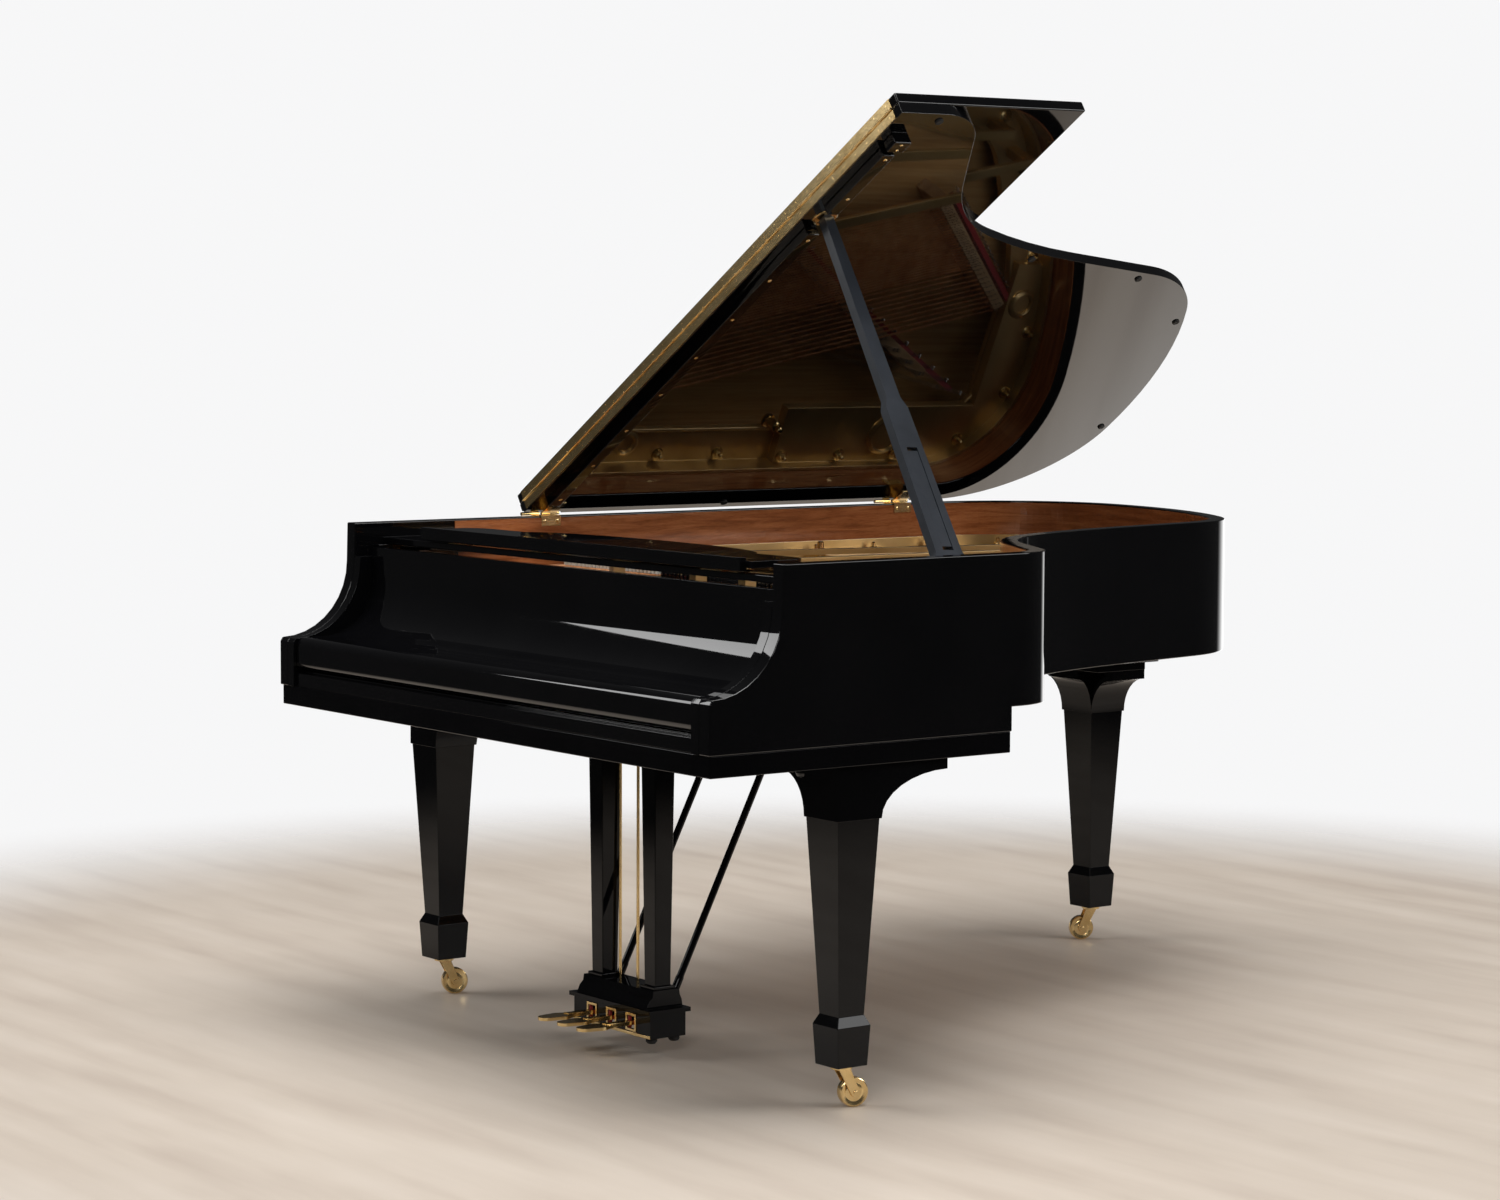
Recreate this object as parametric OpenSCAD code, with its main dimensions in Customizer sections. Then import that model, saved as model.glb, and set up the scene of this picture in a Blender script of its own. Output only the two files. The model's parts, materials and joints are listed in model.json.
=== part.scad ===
// Two metre grand piano: case, iron plate, action, lid on its stick, pedal lyre and casters.
// Millimetres. +Z is up, +Y runs from the keyboard to the tail, +X is the treble side.
// The origin is on the floor, under the centre of the open piano's box.

/* [Case] */
// Width across the case at the keyboard
body_w = 1480; // [1460:5:1500]
// Height of the top edge of the case
rim_top = 982; // [972:1:992]
// Height of the lower edge of the case behind the keybed
rim_bottom = 704; // [695:1:712]
// Thickness of the bent outer rim
rim_t = 32; // [28:1:36]
// Length of the straight treble side in front of the bend
treble_len = 535; // [525:5:545]
// Length of the straight stretch before the tail corner
tail_len = 256; // [240:4:272]

/* [Lid] */
// Angle of the lid on its stick
lid_angle = 32; // [28:1:36]
// Thickness of the lid boards
lid_t = 22; // [20:1:24]
// Distance of the lid's fold line from the front of the arms
fold_y = 585; // [580:1:590]
// How far the lid stands out past the case
lid_over = 6; // [4:1:8]

/* [Keyboard] */
// Distance between white key centres
key_pitch = 23.5; // [23.2:0.1:23.6]
// Number of white keys
white_count = 52; // [52]
// Height of the white key tops
key_top = 735; // [733:1:737]

/* [Stand] */
// Half width of a leg at its top
leg_top_half = 46.5; // [42:0.5:50]
// Radius of the caster wheels
wheel_r = 27; // [25:1:29]
// Distance of each front leg from the middle
leg_x = 670; // [660:1:675]
// Distance between pedals
pedal_pitch = 66; // [60:1:70]

/* [Hidden] */
$fn = 48;
half_w = body_w / 2;
arm_y = 157;              // front of the arms at the top
slab_top = 659;
slab_bottom = 620;
nose_z = 755;
cove_r = 150;             // radius of the arm's hollow curve
cheek_x = 685;            // inner face of the arms beside the keys
inner_x = half_w - rim_t; // inner face of the rim
veneer_t = 2;
slab_end = 676;

string_z = 870;
bass_z = 886;
plate_z = 846;
plate_t = 12;
board_z = 790;
board_t = 9;
strike_y = 520;           // front end of the speaking lengths
note_count = 88;
bass_count = 26;
note_pitch = 13.2;

// Plan of the case: straights [length, 0] and arcs [radius, turn], from the treble arm
// round the bend and the tail. A positive turn is to the left.
plan = [
    [treble_len, 0], [130, 62], [170, 0], [400, -40], [1500, -11.6],
    [tail_len, 0], [300, 47.6], [1050, 29]];

lid_gap = 4;
pivot = [-half_w - lid_over, rim_top + lid_gap];
lid_w = body_w + 2 * lid_over;
flap_len = 460;
fold_gap = 3;
lid_h = 2 * lid_t + 0.5;
lid_tail = max([for (p = lid_outline()) p[1]]);
centre_x = (pivot[0] - lid_h * sin(lid_angle) + half_w) / 2;
centre_y = lid_tail / 2;

leg_y = 343;
tail_leg_at = [-395, 1890];
leg_joint_z = 521;
ferrule_top = 150;
ferrule_bottom = 77;
caster_off = 22;          // swivel axis to wheel axle

lyre_y = 347;
rod_pitch = 60;

fall_pivot = [205, 775];
desk_hinge = [222, 957];
desk_arm = 100;

stick_foot = [668, 593, 946];
stick_u = 1146;
stick_tip = lid_point(stick_u, 639, -1.2);
stick_dir = unit(stick_tip - stick_foot);
fold_dir = [-cos(1.5), sin(1.5), 0];
swivel_dir = unit(stick_dir + fold_dir);
stick_len = norm(stick_tip - stick_foot);

hammer_pivot = [430, 775];

function unit(v) = v / norm(v);
function lid_point(u, y, h) = [
    pivot[0] + u * cos(lid_angle) - h * sin(lid_angle),
    y,
    pivot[1] + u * sin(lid_angle) + h * cos(lid_angle)];

function leap(p, h, s) = s[1] == 0
    ? p + s[0] * [cos(h), sin(h)]
    : p + sign(s[1]) * s[0] * [sin(h + s[1]) - sin(h), cos(h) - cos(h + s[1])];
function steps(s) = s[1] == 0 ? 1 : ceil(abs(s[1]) / 3);
function part_of(s, f) = s[1] == 0 ? [s[0] * f, 0] : [s[0], s[1] * f];
function walk(i, p, h, off) = i == len(plan) ? [] : concat(
    [for (k = [0 : steps(plan[i]) - 1])
        let (q = k == 0 ? p : leap(p, h, part_of(plan[i], k / steps(plan[i]))),
             g = h + plan[i][1] * k / steps(plan[i]))
        q + off * [sin(g), -cos(g)]],
    walk(i + 1, leap(p, h, plan[i]), h + plan[i][1], off));
function end_of(i, p, h) = i == len(plan) ? [p[0], p[1], h]
    : end_of(i + 1, leap(p, h, plan[i]), h + plan[i][1]);

// Outline of the case moved outwards by off, closed along y = front
function outline(off, front = 100) = let (
    e = end_of(0, [half_w, arm_y], 90),
    r = (e[0] + half_w) / (sin(e[2]) + 1),
    c = [e[0] - r * sin(e[2]), e[1] + r * cos(e[2])],
    turn = 270 - e[2])
    concat(
        [[half_w + off, front]],
        walk(0, [half_w, arm_y], 90, off),
        [for (k = [0 : 30])
            let (g = e[2] + turn * k / 30)
            c + (r + off) * [sin(g), -cos(g)]],
        [[-half_w - off, front]]);
function lid_outline() = outline(lid_over);

module place() translate([-centre_x, -centre_y, 0]) children();
module slab_box(x0, x1, y0, y1, z0, z1)
    translate([x0, y0, z0]) cube([x1 - x0, y1 - y0, z1 - z0]);
// Plate of the given profile in the Y-Z plane, from x0 to x1
module side_plate(x0, x1) translate([x0, 0, 0])
    rotate([90, 0, 90]) linear_extrude(x1 - x0) children();
module both_sides() {
    children();
    mirror([1, 0, 0]) children();
}
module behind(y) intersection() {
    children();
    translate([-1000, y]) square([2000, 2500]);
}
module ring(outer, inner, z0, z1, y0)
    translate([0, 0, z0]) linear_extrude(z1 - z0) behind(y0) difference() {
        polygon(outline(outer));
        polygon(outline(inner, 50));
    }
module in_lid() multmatrix([
    [cos(lid_angle), 0, -sin(lid_angle), pivot[0]],
    [0, 1, 0, 0],
    [sin(lid_angle), 0, cos(lid_angle), pivot[1]],
    [0, 0, 0, 1]]) children();

// Case ------------------------------------------------------------------

module arm_profile(top) polygon(concat(
    [[0, slab_top], [0, nose_z - 8], [5, nose_z]],
    [for (a = [80 : -10 : 0])
        [5 + cove_r * cos(a), nose_z + cove_r - cove_r * sin(a)]],
    [[arm_y, top], [slab_end, top], [slab_end, slab_top]]));

module outer_rim() color("black") {
    ring(0, -rim_t, rim_bottom, rim_top, 190);
    both_sides() side_plate(inner_x, half_w) intersection() {
        arm_profile(rim_top);
        translate([0, slab_top]) square([slab_end, rim_top]);
    }
}
module rim_veneer() color([0.55, 0.27, 0.13])
    ring(-rim_t, -rim_t - veneer_t, plate_z + plate_t, rim_top - 3, 395);
module inner_rim() color([0.72, 0.55, 0.36]) {
    ring(-rim_t, -rim_t - 56, rim_bottom + 4, board_z, slab_end);
    ring(-rim_t - veneer_t, -rim_t - 30, board_z + board_t, plate_z, slab_end);
}
module keybed() color("black")
    slab_box(-half_w + 4, half_w - 4, 4, slab_end, slab_bottom, slab_top);
module key_slip() color("black") {
    slab_box(-cheek_x, cheek_x, 6, 22, slab_top, 686);
    slab_box(-cheek_x, cheek_x, 22, 28, slab_top, 690);
}
// Inner cheeks that thicken the arms, and the end blocks beside the keys
module arm_cheeks() color("black") both_sides() difference() {
    union() {
        side_plate(cheek_x, inner_x) intersection() {
            arm_profile(915);
            translate([0, slab_top]) square([390, 256]);
        }
        slab_box(616, cheek_x, 36, 190, slab_top, 733);
    }
    translate([cheek_x - 1, fall_pivot[0], fall_pivot[1]])
        rotate([0, 90, 0]) cylinder(h = 12, r = 5.05);
}
module belly_rail() color([0.72, 0.55, 0.36])
    slab_box(-inner_x, inner_x, 628, 662, slab_top, board_z);
module back_posts() color([0.72, 0.55, 0.36])
    for (p = [[-430, 6, 1165], [-150, 2, 1160], [120, 3, 985], [400, 12, 180]])
        translate([p[0], 663 + 35 * sin(p[1]), rim_bottom + 6]) rotate([0, 0, p[1]])
            translate([-35, 0, 0]) cube([70, p[2], 70]);
// Stepped blocks that carry the tail leg
module leg_blocks() color("black")
    for (s = [[180, 150, 662, rim_bottom], [150, 120, 640, 662], [120, 95, slab_bottom, 640]])
        slab_box(tail_leg_at[0] - s[0], tail_leg_at[0] + s[0],
            tail_leg_at[1] - s[1], tail_leg_at[1] + 0.5 * s[1], s[2], s[3]);
module pin_block() color([0.6, 0.42, 0.25])
    slab_box(-inner_x, inner_x, 396, 535, 812, plate_z);

// Iron plate, soundboard and strings --------------------------------------

function note_x(i) = (i - (note_count - 1) / 2) * note_pitch + (i < bass_count ? -32 : 14);
// Front end of a note's speaking length: the top notes start nearer their hammers
function front(i) = strike_y + 18 * max(0, i - bass_count) / (note_count - bass_count);
function treble_tilt(i) = 14 * pow((note_count - i) / (note_count - bass_count), 1.3);
function speaking(i) = i < bass_count
    ? 1330 - 11 * i
    : 1230 * pow(2, -0.8 * (i - bass_count) / 12);
function tilt(i) = i < bass_count ? 13 : -treble_tilt(i);
function along(i, d) = [
    note_x(i) + d * sin(tilt(i)),
    front(i) + d * cos(tilt(i)),
    i < bass_count ? bass_z : string_z];
function tail_of(i) = i < bass_count ? 55 : 30 + 0.05 * speaking(i);

module rod(p, q, r) translate(p)
    rotate([0, acos((q - p)[2] / norm(q - p)), atan2((q - p)[1], (q - p)[0])])
        cylinder(h = norm(q - p), r = r, $fn = 16);

// Raised bar of the plate, over the strings, with a foot at each end
module strut(p, q) {
    d = q - p;
    translate([p[0], p[1], 0]) rotate([0, 0, atan2(d[1], d[0])]) difference() {
        translate([0, -11, plate_z + plate_t - 2]) cube([norm(d), 22, 76]);
        translate([26, -12, plate_z + plate_t - 3]) cube([norm(d) - 52, 24, 66]);
    }
}
// Raised panel of the plate round the ends of the longest strings, with a wall under its edge
module panel_plan(inset) intersection() {
    polygon(outline(-rim_t - 8 - inset));
    polygon([[-720, 1300 + inset], [-560 - inset, 1300 + inset], [-560 - inset, 1838 + inset],
        [-200 - inset, 1838 + inset], [-200 - inset, 2050], [-720, 2050]]);
}
module hitch_panel() {
    translate([0, 0, 870]) linear_extrude(10) panel_plan(0);
    translate([0, 0, plate_z + plate_t - 2]) linear_extrude(16) difference() {
        panel_plan(0);
        panel_plan(10);
    }
}
module iron_plate() color([0.8, 0.6, 0.3]) {
    translate([0, 0, plate_z]) linear_extrude(plate_t) difference() {
        behind(397) polygon(outline(-rim_t - veneer_t - 0.5));
        intersection() {
            polygon(outline(-125));
            translate([-1000, 545]) square([2000, 1290]);
        }
        translate([640, 600]) circle(r = 20);
    }
    ring(-rim_t - veneer_t - 0.5, -rim_t - 11, plate_z + plate_t - 2, 906, 720);
    hitch_panel();
    strut([-258, 480], [30, 1775]);
    strut([20, 480], [96, 1692]);
    strut([180, 480], [180, 1290]);
    strut([420, 480], [420, 885]);
}
module soundboard() color([0.85, 0.68, 0.42])
    translate([0, 0, board_z]) linear_extrude(board_t)
        behind(628) polygon(outline(-rim_t - veneer_t));

function bridge_at(i) = let (p = along(i, speaking(i))) [p[0], p[1]];
module ribbon(pts, w, z0, z1) translate([0, 0, z0]) linear_extrude(z1 - z0)
    polygon(concat(
        [for (p = pts) p + [w / 2, w / 2]],
        [for (k = [len(pts) - 1 : -1 : 0]) pts[k] - [w / 2, w / 2]]));
module bridges() color([0.7, 0.5, 0.3]) {
    ribbon([for (i = [87 : -3 : bass_count]) bridge_at(i)], 20,
        board_z + board_t, string_z - 1.2);
    ribbon([for (i = [0, bass_count - 1]) bridge_at(i)], 20,
        board_z + board_t, bass_z - 1.8);
}
module treble_strings() color("silver")
    for (i = [bass_count : note_count - 1])
        rod(along(i, -14), along(i, speaking(i) + tail_of(i)), 0.6);
module bass_strings() color([0.72, 0.42, 0.22])
    for (i = [0 : bass_count - 1])
        rod(along(i, -14), along(i, speaking(i) + tail_of(i)), 1.4);
module tuning_pins() color([0.5, 0.5, 0.55])
    for (i = [0 : note_count - 1])
        translate([note_x(i), 430 + 22 * (i % 3), plate_z + plate_t])
            cylinder(h = 36, r = 3.4, $fn = 16);

// Action ------------------------------------------------------------------

module key_frame() color([0.78, 0.62, 0.42]) {
    for (r = [[45, 95, 9], [245, 285, 37], [440, 480, 20]])
        slab_box(-612, 612, r[0], r[1], slab_top + 0.3, slab_top + r[2]);
    for (x = [-612, 592])
        slab_box(x, x + 20, 95, 440, slab_top + 0.3, slab_top + 9);
}
module hammer_rail() color([0.7, 0.55, 0.36]) {
    slab_box(-612, 612, 404, 424, 752, 776);
    for (x = [-617, 611])
        slab_box(x, x + 6, 404, 480, slab_top + 20, 776);
}
black_after = [1, 0, 1, 1, 0, 1, 1]; // from the lowest key, A
function has_black(k) = k < white_count - 1 && black_after[k % 7] == 1;
function white_x(k) = (k - (white_count - 1) / 2) * key_pitch;
function black_x(k) = white_x(k) + key_pitch / 2;

module white_keys() color("ivory")
    for (k = [0 : white_count - 1]) {
        left = k > 0 && has_black(k - 1) ? 6.2 : 0;
        right = has_black(k) ? 6.2 : 0;
        w = key_pitch - 1;
        translate([white_x(k), 0, 0]) union() {
            slab_box(-w / 2, w / 2, 36, 84, key_top - 21, key_top);
            slab_box(-w / 2 + left, w / 2 - right, 83, 200, key_top - 21, key_top);
            slab_box(-4.5 + (left - right) / 2, 4.5 + (left - right) / 2,
                199, 478, key_top - 35, key_top - 12);
        }
    }
module black_keys() color([0.06, 0.06, 0.06])
    for (k = [0 : white_count - 2])
        if (has_black(k))
            translate([black_x(k), 0, 0]) union() {
                slab_box(-5, 5, 86, 182, key_top - 21, key_top + 11);
                slab_box(-4, 4, 181, 478, key_top - 35, key_top - 12);
            }

function is_sharp(i) = let (k = i % 12)
    k == 1 || k == 4 || k == 6 || k == 9 || k == 11;
module hammer(x) translate([x, 0, 0]) {
    slab_box(-2.5, 2.5, hammer_pivot[0], 566, 772, 778);
    slab_box(-4.4, 4.4, 562, 586, 768, 834);
    slab_box(-3, 3, hammer_pivot[0] - 5, hammer_pivot[0] + 12, 769, 781);
}
module white_key_hammers() color([0.9, 0.88, 0.8])
    for (i = [0 : note_count - 1]) if (!is_sharp(i)) hammer(note_x(i));
module black_key_hammers() color([0.9, 0.88, 0.8])
    for (i = [0 : note_count - 1]) if (is_sharp(i)) hammer(note_x(i));

damper_count = 69;
module damper_heads() color([0.15, 0.15, 0.16])
    for (i = [0 : damper_count - 1]) {
        z = i < bass_count ? bass_z + 1.7 : string_z + 0.9;
        translate([note_x(i) + (i < bass_count ? 19 : -82 * sin(treble_tilt(i))), 602, 0]) {
            slab_box(-4.5, 4.5, -14, 14, z, z + 24);
            translate([6, 0, 716]) cylinder(h = z - 716 + 12, r = 0.8, $fn = 16);
            slab_box(4, 6.5, -2, 2, z + 6, z + 12);
        }
    }
module damper_tray() color([0.7, 0.55, 0.36])
    slab_box(-612, 640, 592, 612, 700, 716);

// Fallboard and music desk --------------------------------------------------

module fall_profile() polygon(concat(
    [[32, 739], [32, 692]],
    [for (a = [270 : -15 : 180]) [24 + 18 * cos(a), 710 + 18 * sin(a)]],
    [for (a = [180 : -15 : 90]) [26 + 20 * cos(a), 737 + 20 * sin(a)]],
    [[72, 757]],
    [for (a = [80 : -10 : 0]) [72 + 110 * cos(a), 867 - 110 * sin(a)]],
    [[183, 933], [201, 933], [201, 880]],
    [for (a = [0 : 10 : 80]) [72 + 120 * cos(a), 867 - 120 * sin(a)]],
    [[64, 747], [58, 739]]));
module fallboard() color("black") difference() {
    union() {
        side_plate(-cheek_x + 1.2, cheek_x - 1.2) fall_profile();
        both_sides() side_plate(cheek_x - 16, cheek_x - 1.2) hull() {
            translate(fall_pivot) circle(r = 12, $fn = 32);
            translate([165, 795]) circle(r = 6, $fn = 32);
            translate([186, 822]) circle(r = 6, $fn = 32);
        }
        both_sides() translate([cheek_x - 4, fall_pivot[0], fall_pivot[1]])
            rotate([0, 90, 0]) cylinder(h = 12, r = 5);
    }
}
module desk_rails() color("black") both_sides()
    slab_box(cheek_x + 1, inner_x - veneer_t, 200, 540, 915, 937.5);
module desk_shelf() color("black") {
    slab_box(-690, 690, 226, 246, 938, 951);
    slab_box(-690, 690, 290, 440, 938, 951);
    both_sides() slab_box(500, 704, 226, 440, 938, 951);
}
desk_half = 560;
module desk_plan() polygon(concat(
    [[-desk_half, 0], [desk_half, 0]],
    [for (a = [0 : 15 : 90]) [desk_half - 60 + 60 * cos(a), 95 + 40 * sin(a)]],
    [for (a = [0 : 15 : 180]) [0 + 380 * cos(a), 135 + 75 * sin(a)]],
    [for (a = [90 : 15 : 180]) [-desk_half + 60 + 60 * cos(a), 95 + 40 * sin(a)]]));
module music_desk() color("black") {
    translate([0, desk_hinge[0], 962]) linear_extrude(12) desk_plan();
    slab_box(-desk_half + 20, desk_half - 20, desk_hinge[0] - 12, desk_hinge[0] + 2, 956, 980);
    translate([-desk_half + 20, desk_hinge[0], desk_hinge[1]]) rotate([0, 90, 0])
        cylinder(h = 2 * desk_half - 40, r = 3);
}
// Struts that carry the raised desk: pivoted under it, their feet slide on the shelf
module desk_props() color([0.8, 0.6, 0.25]) both_sides()
    translate([280, desk_hinge[0] + desk_arm, desk_hinge[1]]) {
        slab_box(0, 12, 0, desk_arm, -3, 3);
        for (y = [0, desk_arm])
            translate([0, y, 0]) rotate([0, 90, 0]) cylinder(h = 12, r = 3);
    }

// Lid ------------------------------------------------------------------------

lid_hinge_ys = [632, 1584];
module hinge_notches(len) for (y = lid_hinge_ys)
    translate([0, y - len / 2, 0]) rotate([-90, 0, 0]) cylinder(h = len, r = 6);
module main_lid() color("black") in_lid() difference() {
    translate([half_w + lid_over, 0, 0]) linear_extrude(lid_t)
            behind(fold_y + fold_gap) polygon(lid_outline());
    hinge_notches(104);
}
module front_flap() color("black") in_lid()
    slab_box(0, lid_w, fold_y + fold_gap, fold_y + flap_len, lid_t + 0.5, lid_h);
leaf_count = 36;
leaf_x = 20;
leaf_len = (lid_w - 2 * leaf_x) / leaf_count;
// One leaf of the long hinge: side 1 is on the main lid, side -1 on the flap
module long_leaf(side) in_lid() translate([leaf_x, fold_y, lid_t + 0.25]) {
    z0 = side > 0 ? -lid_t + 1.2 : 2.7;
    slab_box(0, lid_w - 2 * leaf_x, 1.3, fold_gap, z0, z0 + lid_t - 3.9);
    for (k = [side > 0 ? 0 : 1 : 2 : leaf_count - 1])
        translate([k * leaf_len + 0.5, 0, 0]) {
            rotate([0, 90, 0]) cylinder(h = leaf_len - 1, r = 2.4, $fn = 24);
            slab_box(0, leaf_len - 1, 0.9, fold_gap,
                side > 0 ? -3 : 0, side > 0 ? 0 : 3);
        }
}
module lid_long_leaf() color([0.85, 0.68, 0.3]) long_leaf(1);
module flap_long_leaf() color([0.85, 0.68, 0.3]) long_leaf(-1);
module lid_batten() color("black") in_lid() {
    slab_box(60, stick_u - 34, 613, 641, -18, 0);
    slab_box(stick_u + 34, 1380, 613, 641, -18, 0);
    slab_box(1396, 1428, 608, 646, -22, 0);
}
module lid_bumpers() color([0.1, 0.1, 0.1]) in_lid()
    for (p = [[1470, 690], [1012, 1254], [773, 1843], [323, 1974], [943, 1600], [22, 1100]])
        translate([p[0], p[1], -3.8]) cylinder(h = 3.8, r = 8);
module rim_hinge_leaves() color([0.85, 0.68, 0.3]) for (y = lid_hinge_ys) {
    slab_box(-half_w, -inner_x + veneer_t + 2, y - 24, y + 24, rim_top, rim_top + 1.6);
    slab_box(-inner_x + veneer_t, -inner_x + veneer_t + 2, y - 24, y + 24,
        rim_top - 20, rim_top);
    translate([pivot[0], y - 48, pivot[1]]) rotate([-90, 0, 0])
        cylinder(h = 44, r = 4);
    slab_box(pivot[0], -half_w + 1, y - 24, y - 5, rim_top, rim_top + 1.6);
}
module lid_hinge_leaves() color([0.85, 0.68, 0.3]) in_lid() for (y = lid_hinge_ys) {
    slab_box(8, 46, y + 2, y + 40, -1.8, 0);
    slab_box(0, 9, y + 2, y + 40, -1.8, 0);
    translate([0, y + 2, 0]) rotate([-90, 0, 0]) cylinder(h = 44, r = 4);
}

// Lid stick --------------------------------------------------------------------

// Frame of the stick: x across its face, y through it, z up its length from the swivel
stick_w = unit(cross(cross(stick_dir, [0, 1, 0]), stick_dir));
stick_n = cross(stick_dir, stick_w);
module in_stick() multmatrix([
    [stick_w[0], stick_n[0], stick_dir[0], stick_foot[0]],
    [stick_w[1], stick_n[1], stick_dir[1], stick_foot[1]],
    [stick_w[2], stick_n[2], stick_dir[2], stick_foot[2]],
    [0, 0, 0, 1]]) children();
module prop_stick() color([0.12, 0.13, 0.15]) {
    in_stick() difference() {
        translate([0, 10, 0]) rotate([90, 0, 0]) linear_extrude(20) polygon([
            [-45, 4], [-30, 40], [-25, 350], [-16, 372], [-11, stick_len - 3], [-7, stick_len],
            [7, stick_len], [11, stick_len - 3], [16, 372], [25, 350], [30, 40], [45, 4]]);
        slab_box(-12, 12, -11, 11, 42, 262);
    }
    rod(stick_foot + 12 * swivel_dir, stick_foot - 30 * swivel_dir, 6);
}
module half_stick() color([0.12, 0.13, 0.15]) in_stick() {
    slab_box(-11, 11, -9, 9, 50, 255);
    translate([-11.9, 0, 60]) rotate([0, 90, 0]) cylinder(h = 23.8, r = 3);
}
module prop_bracket() color([0.85, 0.68, 0.3]) {
    difference() {
        intersection() {
            rod(stick_foot - 14 * swivel_dir, stick_foot - 60 * swivel_dir, 13);
            slab_box(600, inner_x - veneer_t, 500, 700, 860, 981);
        }
        rod(stick_foot, stick_foot - 36 * swivel_dir, 6.25);
    }
    slab_box(inner_x - veneer_t - 4, inner_x - veneer_t, 560, 626, 905, 965);
}

// Legs, casters and lyre -----------------------------------------------------------

module taper(z0, h0, z1, h1)
    translate([0, 0, z0]) linear_extrude(z1 - z0, scale = h1 / h0) square(2 * h0, center = true);
function quarter(cy, cz, ry, rz, from, to) =
    [for (k = [0 : 8]) let (a = from + (to - from) * k / 8) [cy + ry * cos(a), cz + rz * sin(a)]];
// Bracket wing of a leg: it reaches out sideways and hollows down to the shaft
module wing(reach) rotate([90, 0, 0])
    translate([0, 0, -leg_top_half - 3]) linear_extrude(2 * leg_top_half + 6) polygon(concat(
        [[0, slab_bottom], [0, leg_joint_z]],
        quarter(leg_top_half + 3 + reach, leg_joint_z, reach, 78, 180, 90),
        [[leg_top_half + 3 + reach, slab_bottom]]));
module leg(wings) difference() {
    union() {
        taper(168, 28.5, leg_joint_z, leg_top_half);
        taper(ferrule_top, 37, 168, 28.5);
        taper(ferrule_bottom, 33, ferrule_top, 37);
        translate([0, 0, leg_joint_z]) linear_extrude(slab_bottom - leg_joint_z)
            square(2 * leg_top_half + 6, center = true);
        for (w = wings) rotate([0, 0, w[0]]) wing(w[1]);
    }
    translate([0, 0, ferrule_bottom - 1]) cylinder(h = 41, r = 8.05);
}
module bass_leg() color("black") translate([-leg_x, leg_y, 0]) leg([[90, 150], [0, 66]]);
module treble_leg() color("black") translate([leg_x, leg_y, 0]) leg([[90, 150], [180, 66]]);
module tail_leg() color("black") translate([tail_leg_at[0], tail_leg_at[1], 0])
    leg([[0, 66], [180, 66], [270, 40]]);

module caster_fork(at, turn) translate(at) rotate([0, 0, turn]) {
    translate([0, 0, ferrule_bottom - 1]) cylinder(h = 39, r = 8);
    translate([0, 0, ferrule_bottom - 7]) cylinder(h = 6.7, r = 20);
    for (x = [-15, 12])
        side_plate(x, x + 3) difference() {
            hull() {
                translate([caster_off, wheel_r]) circle(r = 8, $fn = 32);
                translate([-10, ferrule_bottom - 7]) square([22, 1]);
            }
            translate([caster_off, wheel_r]) circle(r = 4.05, $fn = 32);
        }
}
module caster_wheel(at, turn) translate(at) rotate([0, 0, turn])
    translate([0, caster_off, wheel_r]) rotate([0, 90, 0]) {
        translate([0, 0, -10]) cylinder(h = 20, r = wheel_r);
        translate([0, 0, -17]) cylinder(h = 34, r = 4);
    }
bass_caster = [-leg_x, leg_y, 0];
treble_caster = [leg_x, leg_y, 0];
tail_caster = [tail_leg_at[0], tail_leg_at[1], 0];
module bass_caster_fork() color([0.85, 0.68, 0.3]) caster_fork(bass_caster, -20);
module bass_caster_wheel() color([0.85, 0.68, 0.3]) caster_wheel(bass_caster, -20);
module treble_caster_fork() color([0.85, 0.68, 0.3]) caster_fork(treble_caster, -15);
module treble_caster_wheel() color([0.85, 0.68, 0.3]) caster_wheel(treble_caster, -15);
module tail_caster_fork() color([0.85, 0.68, 0.3]) caster_fork(tail_caster, 150);
module tail_caster_wheel() color([0.85, 0.68, 0.3]) caster_wheel(tail_caster, 150);

module lyre_top() color("black")
    slab_box(-215, 215, lyre_y - 47, lyre_y + 60, 592, slab_bottom);
module lyre_posts() color("black") both_sides()
    translate([89, lyre_y + 4, 0]) taper(126, 18, 592, 23.5);
module lyre_box() color("black") difference() {
    union() {
        slab_box(-129.5, 129.5, lyre_y - 41, lyre_y + 41, 37, 84);
        slab_box(-137, 137, lyre_y - 48, lyre_y + 48, 84, 92);
        side_plate(-118, 118) polygon([
            [lyre_y - 42, 92], [lyre_y - 36, 106], [lyre_y - 28, 114], [lyre_y - 26, 126],
            [lyre_y + 34, 126], [lyre_y + 36, 114], [lyre_y + 40, 106], [lyre_y + 42, 92]]);
    }
    slab_box(-110, 110, lyre_y - 33, lyre_y + 33, 36, 100);
    for (k = [-1 : 1])
        slab_box(k * pedal_pitch - 12, k * pedal_pitch + 12, lyre_y - 42, lyre_y - 30, 48, 74);
    for (k = [-1 : 1])
        translate([k * rod_pitch, lyre_y + 20, 99]) cylinder(h = 30, r = 5);
}
module pedal_escutcheons() color([0.85, 0.68, 0.3]) {
    for (k = [-1 : 1]) translate([k * pedal_pitch, 0, 0]) difference() {
        slab_box(-17, 17, lyre_y - 43, lyre_y - 41, 45, 79);
        slab_box(-12, 12, lyre_y - 44, lyre_y - 40, 49, 74);
    }
    slab_box(-129, 129, lyre_y - 42.5, lyre_y - 41, 37, 43);
}
module lyre_braces() color("black") both_sides()
    rod([93, lyre_y + 43, 122], [93, 640, slab_bottom - 4], 8);
pedal_pivot = [lyre_y + 4, 62];
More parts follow.
